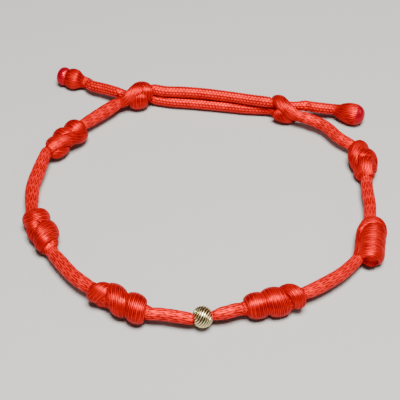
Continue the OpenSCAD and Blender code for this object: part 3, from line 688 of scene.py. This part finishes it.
def stretchPath(start, via, finish, step):
    rows = []
    for depth in (buriedEnd, 0.0):
        rows.append((*(start[0] - start[1] * depth), cordDiameter))
    rows += via
    for depth in (0.0, buriedEnd):
        rows.append((*(finish[0] - finish[1] * depth), cordDiameter))
    return plainPath(rows, step)


beadSettings = {
    "middle": (-0.1, -27.1, 2.4), "heading": 9.0, "diameter": 3.5, "length": 2.9, "bore": 1.5,
    "cuts": 14, "cutDepth": 0.20, "sweep": 165.0, "meridiansPerCut": 3, "rings": 30, "endCut": 0.86,
    "rimDip": 0.08, "edgeBevel": 0.02, "bevelSegments": 2, "sharpFrom": 30.0, "smoothTo": 25.0,
    "tiny": 0.001,  # mm, less than this is no length
}


def besideBead(off, diameter):
    heading = radians(beadSettings["heading"])
    x, y, z = beadSettings["middle"]
    return (x + off * cos(heading), y + off * sin(heading), z, diameter)


stretches = {
    "frontCord": {
        "node": "cord_front",
        "from": knotEnd(frontLeftKnot, 0, True), "to": knotEnd(frontRightKnot, 0, False),
        "via": [
            (-6.4, -26.6, 2.4, 2.0), (-4.2, -27.0, 2.4, 2.0), besideBead(-2.1, 1.9),
            besideBead(-1.65, 1.75), besideBead(-1.5, 1.25), besideBead(1.5, 1.25), besideBead(1.75, 1.5),
            (2.7, -26.55, 2.5, 1.95), (3.9, -26.2, 2.5, 2.1), (5.0, -25.75, 2.45, 2.1),
        ],
    },
    "frontLeftCord": {
        "node": "cord_front_left",
        "from": knotEnd(sideLeftKnot, 0, True), "to": knotEnd(frontLeftKnot, 0, False),
        "via": [(-23.7, -15.0, 2.3, 2.3), (-21.25, -18.25, 2.4, 2.3), (-18.95, -20.5, 2.5, 2.3)],
    },
    "sideLeftCord": {
        "node": "cord_side_left",
        "from": knotEnd(backLeftKnot, 0, True), "to": knotEnd(sideLeftKnot, 0, False),
        "via": [(-28.95, 6.3, 2.3, 2.4), (-29.6, 2.6, 2.2, 2.4), (-29.55, -0.6, 2.2, 2.4)],
    },
    "backLeftCord": {
        "node": "cord_back_left",
        "from": knotEnd(slideLeftKnot, 1, False), "to": knotEnd(backLeftKnot, 0, False),
        "via": [(-17.2, 23.0, 2.5, 2.4), (-19.5, 20.8, 2.4, 2.4)],
    },
    "frontRightCord": {
        "node": "cord_front_right",
        "from": knotEnd(frontRightKnot, 0, True), "to": knotEnd(sideRightKnot, 5, False),
        "via": [(18.0, -21.35, 2.5, 2.2), (20.4, -19.7, 2.4, 2.2), (22.8, -17.65, 2.2, 2.1)],
    },
    "sideRightCord": {
        "node": "cord_side_right",
        "from": knotEnd(sideRightKnot, 0, True), "to": knotEnd(backRightKnot, 0, False),
        "via": [(28.65, -2.4, 2.2, 2.1), (28.6, 0.9, 2.2, 2.1)],
    },
    "backRightCord": {
        "node": "cord_back_right",
        "from": knotEnd(backRightKnot, 0, True), "to": knotEnd(slideRightKnot, 1, False),
        "via": [(24.75, 14.9, 2.3, 2.1), (22.45, 17.95, 2.4, 2.1)],
    },
}
for name, stretch in stretches.items():
    path = stretchPath(stretch["from"], stretch["via"], stretch["to"], ringStep["plain"])
    makePiece(name, stretch["node"], [sweptTube(path, plainWeave)], plainSatin)
print("plain cord laid")


# Running ends: side by side between the slide knots, through the far one, and out to a tail
def insideKnot(rows, knot):
    fine = [(a, t, w, d, d) for a, t, w, d in rows]
    points, _, wide, _ = knotPath(fine, knot, ringStep["passing"])
    return [(*point, size) for point, size in zip(points.tolist(), wide.tolist())]


passLeftRows = [  # along, turn, away, diameter
    (3.8, 172, 1.12, 2.0), (2.9, 180, 0.92, 1.8), (1.8, 195, 0.76, 1.5), (0.4, 215, 0.74, 1.5),
    (-1.2, 238, 0.82, 1.5), (-2.4, 258, 1.05, 1.7), (-3.6, 274, 1.35, 2.0),
]
passRightRows = [
    (3.6, 5, 1.05, 2.0), (2.7, 8, 0.95, 1.8), (1.6, 15, 0.80, 1.5), (-1.4, 35, 0.80, 1.5),
    (-2.5, 45, 0.92, 1.7), (-3.6, 52, 1.10, 2.0),
]
runningEnds = {
    "leftRunningEnd": {
        "node": "running_end_left", "stopper": "endLeftKnot",
        "from": knotEnd(slideRightKnot, 3, True), "to": knotEnd(endLeftKnot, 0, False),
        "via": [
            (8.4, 24.2, 1.35, 2.0), (5.0, 24.7, 1.35, 2.0), (1.4, 25.25, 1.35, 2.0),
            (-2.2, 25.75, 1.35, 2.0), (-5.6, 26.1, 1.35, 2.0), *insideKnot(passLeftRows, slideLeftKnot),
            (-18.6, 28.75, 2.3, 2.1), (-20.3, 29.45, 2.2, 2.1), (-21.4, 30.1, 2.1, 2.0),
        ],
    },
    "rightRunningEnd": {
        "node": "running_end_right", "stopper": "endRightKnot",
        "from": knotEnd(slideLeftKnot, 4, True), "to": knotEnd(endRightKnot, 0, False),
        "via": [
            (-6.9, 26.65, 3.45, 2.0), (-3.7, 26.5, 3.45, 2.0), (-0.3, 26.1, 3.45, 2.0),
            (3.1, 25.5, 3.45, 2.0), (6.4, 24.8, 3.45, 2.0), (9.2, 24.1, 3.5, 2.0),
            *insideKnot(passRightRows, slideRightKnot), (20.1, 23.0, 2.8, 2.0), (22.2, 22.95, 2.5, 2.0),
        ],
    },
}
for name, end in runningEnds.items():
    path = stretchPath(end["from"], end["via"], end["to"], ringStep["running"])
    piece = makePiece(name, end["node"], [sweptTube(path, ribbedWeave)], plainSatin)


# Bead: pale gold, slanting cuts round it and a bore along it
# the cuts are painted near black: painted shade in the grooves
goldSettings = {
    "dull": (0.88, 0.72, 0.34, 1.0), "bright": (1.0, 0.90, 0.52, 1.0), "cut": (0.05, 0.035, 0.012, 1.0),
    "cutFrom": 0.05, "cutFull": 0.55, "roughness": 0.22, "roughnessShare": 0.14,
    "grainScale": 2600.0, "grainDetail": 3.0, "grainBump": 0.15, "grainHeight": 0.02,  # mm
}


def goldMaterial(settings):
    material = bpy.data.materials.new("champagneGold")
    material.use_nodes = True
    nodes, links = material.node_tree.nodes, material.node_tree.links
    shader = nodes["Principled BSDF"]
    shader.inputs["Metallic"].default_value = 1.0
    place = nodes.new("ShaderNodeTexCoord")
    grain = nodes.new("ShaderNodeTexNoise")
    grain.inputs["Scale"].default_value = settings["grainScale"]
    grain.inputs["Detail"].default_value = settings["grainDetail"]
    links.new(place.outputs["Object"], grain.inputs["Vector"])
    tone = mixColours(nodes, links, grain.outputs["Fac"], settings["dull"], settings["bright"])
    # painted shade: the groove bottoms are darkened towards near black
    groove = nodes.new("ShaderNodeAttribute")
    groove.attribute_name = "groove"
    shade = nodes.new("ShaderNodeValToRGB")
    shade.color_ramp.elements[0].position = settings["cutFrom"]
    shade.color_ramp.elements[1].position = settings["cutFull"]
    links.new(groove.outputs["Fac"], shade.inputs["Fac"])
    tone = mixColours(nodes, links, shade.outputs["Color"], tone, settings["cut"])
    links.new(tone, shader.inputs["Base Color"])
    rough = mathNode(
        nodes, links, "MULTIPLY_ADD", grain.outputs["Fac"],
        settings["roughnessShare"], settings["roughness"],
    )
    links.new(rough, shader.inputs["Roughness"])
    scratch = nodes.new("ShaderNodeBump")
    scratch.inputs["Strength"].default_value = settings["grainBump"]
    scratch.inputs["Distance"].default_value = settings["grainHeight"] * millimetre
    links.new(grain.outputs["Fac"], scratch.inputs["Height"])
    links.new(scratch.outputs["Normal"], shader.inputs["Normal"])
    return material


def selectedRadius(bead):
    bead.update_from_editmode()
    spans = [vertex.co.xy.length for vertex in bead.data.vertices if vertex.select]
    return sum(spans) / len(spans)


def makeBead(settings):
    bpy.ops.object.select_all(action="DESELECT")
    radius = settings["diameter"] / 2 * millimetre
    half = settings["length"] / 2 * millimetre
    segments = settings["cuts"] * settings["meridiansPerCut"]
    bpy.ops.mesh.primitive_uv_sphere_add(segments=segments, ring_count=settings["rings"], radius=radius)
    bead = bpy.context.object
    bead.name = bead.data.name = "goldBead"
    # the first meridian of each cut is pressed in
    pressed = (settings["diameter"] / 2 - settings["cutDepth"]) / (settings["diameter"] / 2)
    for part in (*bead.data.vertices, *bead.data.edges, *bead.data.polygons):
        part.select = False
    for vertex in bead.data.vertices:
        turn = np.degrees(np.arctan2(vertex.co.y, vertex.co.x)) % 360
        meridian = int(turn / 360 * segments) % settings["meridiansPerCut"]
        vertex.select = meridian == 0 and vertex.co.xy.length > settings["tiny"] * millimetre
    bpy.ops.object.mode_set(mode="EDIT")
    bpy.ops.mesh.select_mode(type="VERT")
    bpy.ops.transform.resize(value=(pressed, pressed, 1.0), center_override=(0.0, 0.0, 0.0))
    bead.update_from_editmode()
    depth = np.array([float(vertex.select) for vertex in bead.data.vertices])
    bpy.ops.object.mode_set(mode="OBJECT")
    bead.data.attributes.new("groove", "FLOAT", "POINT").data.foreach_set("value", depth)
    bpy.ops.object.mode_set(mode="EDIT")
    bpy.ops.mesh.select_all(action="SELECT")
    wholeLength = half / settings["endCut"] / radius
    bpy.ops.transform.resize(value=(1.0, 1.0, wholeLength), center_override=(0.0, 0.0, 0.0))
    # the ends are cut off flat
    for sign in (1, -1):
        bpy.ops.mesh.select_all(action="SELECT")
        bpy.ops.mesh.bisect(
            plane_co=(0.0, 0.0, sign * half), plane_no=(0.0, 0.0, sign), clear_outer=True, use_fill=False,
            threshold=settings["tiny"] * millimetre,
        )
    bpy.ops.object.mode_set(mode="OBJECT")
    twist = bead.modifiers.new("slantedCuts", "SIMPLE_DEFORM")
    twist.deform_method = "TWIST"
    twist.deform_axis = "Z"
    twist.angle = radians(-settings["sweep"])
    bpy.ops.object.modifier_apply(modifier=twist.name)
    # the two open rims are drawn in to the bore and joined by it
    bpy.ops.object.mode_set(mode="EDIT")
    bpy.ops.mesh.select_all(action="DESELECT")
    bpy.ops.mesh.select_non_manifold(
        use_wire=False, use_multi_face=False, use_non_contiguous=False, use_verts=False,
    )
    bpy.ops.mesh.extrude_edges_move()
    boreScale = settings["bore"] / 2 * millimetre / selectedRadius(bead)
    rimScale = 1 - settings["rimDip"] * millimetre / half
    bpy.ops.transform.resize(value=(boreScale, boreScale, rimScale), center_override=(0.0, 0.0, 0.0))
    bpy.ops.mesh.bridge_edge_loops()
    bpy.ops.mesh.select_all(action="SELECT")
    bpy.ops.mesh.normals_make_consistent(inside=False)
    bpy.ops.object.mode_set(mode="OBJECT")
    bevel = bead.modifiers.new("cutEdges", "BEVEL")
    bevel.width = settings["edgeBevel"] * millimetre
    bevel.segments = settings["bevelSegments"]
    bevel.limit_method = "ANGLE"
    bevel.angle_limit = radians(settings["sharpFrom"])
    bpy.ops.object.modifier_apply(modifier=bevel.name)
    # the shorter diagonals, so that the mesh is the same each time
    bpy.ops.object.mode_set(mode="EDIT")
    bpy.ops.mesh.select_all(action="SELECT")
    bpy.ops.mesh.quads_convert_to_tris(quad_method="SHORTEST_DIAGONAL", ngon_method="BEAUTY")
    bpy.ops.object.mode_set(mode="OBJECT")
    bead.rotation_euler = (0.0, radians(90.0), radians(settings["heading"]))
    bead.location = Vector(settings["middle"]) * millimetre
    bpy.ops.object.transform_apply(location=True, rotation=True, scale=True)
    bpy.ops.object.shade_smooth_by_angle(angle=radians(settings["smoothTo"]))
    bead.data.materials.append(goldMaterial(goldSettings))
    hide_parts("bead")
    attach(bead, "root")


makeBead(beadSettings)
print("bead cut")


# Pale floor and soft studio light
studioSettings = {
    "floor": (0.40, 0.397, 0.388, 1.0), "floorRoughness": 0.8, "floorSize": 4.0,  # m
    "world": (1.0, 1.0, 1.0, 1.0), "worldStrength": 0.05,
    "lamps": {  # place and size in m, power in W, colour
        "overheadLamp": ((0.03, -0.10, 0.37), 0.15, 4.7, (1.0, 0.97, 0.93)),
        "frontLamp": ((-0.22, -0.30, 0.26), 0.20, 0.10, (1.0, 0.99, 0.98)),
        "sideLamp": ((0.30, 0.02, 0.20), 0.14, 0.15, (1.0, 0.98, 0.96)),
    },
}


def buildStudio(settings):
    bpy.ops.object.select_all(action="DESELECT")
    bpy.ops.mesh.primitive_plane_add(size=settings["floorSize"], location=(0.0, 0.0, 0.0))
    floor = bpy.context.object
    floor.name = "paleFloor"
    paint = bpy.data.materials.new("paleFloor")
    paint.use_nodes = True
    shader = paint.node_tree.nodes["Principled BSDF"]
    shader.inputs["Base Color"].default_value = settings["floor"]
    shader.inputs["Roughness"].default_value = settings["floorRoughness"]
    floor.data.materials.append(paint)
    world = bpy.data.worlds.new("studioWorld")
    world.use_nodes = True
    world.node_tree.nodes["Background"].inputs["Color"].default_value = settings["world"]
    world.node_tree.nodes["Background"].inputs["Strength"].default_value = settings["worldStrength"]
    bpy.context.scene.world = world
    for name, (place, size, power, colour) in settings["lamps"].items():
        lamp = bpy.data.lights.new(name, "AREA")
        lamp.shape = "SQUARE"
        lamp.size = size
        lamp.energy = power
        lamp.color = colour
        holder = bpy.data.objects.new(name, lamp)
        bpy.context.scene.collection.objects.link(holder)
        holder.location = place
        holder.rotation_euler = (-Vector(place)).to_track_quat("-Z", "Y").to_euler()


buildStudio(studioSettings)
print("studio lit")
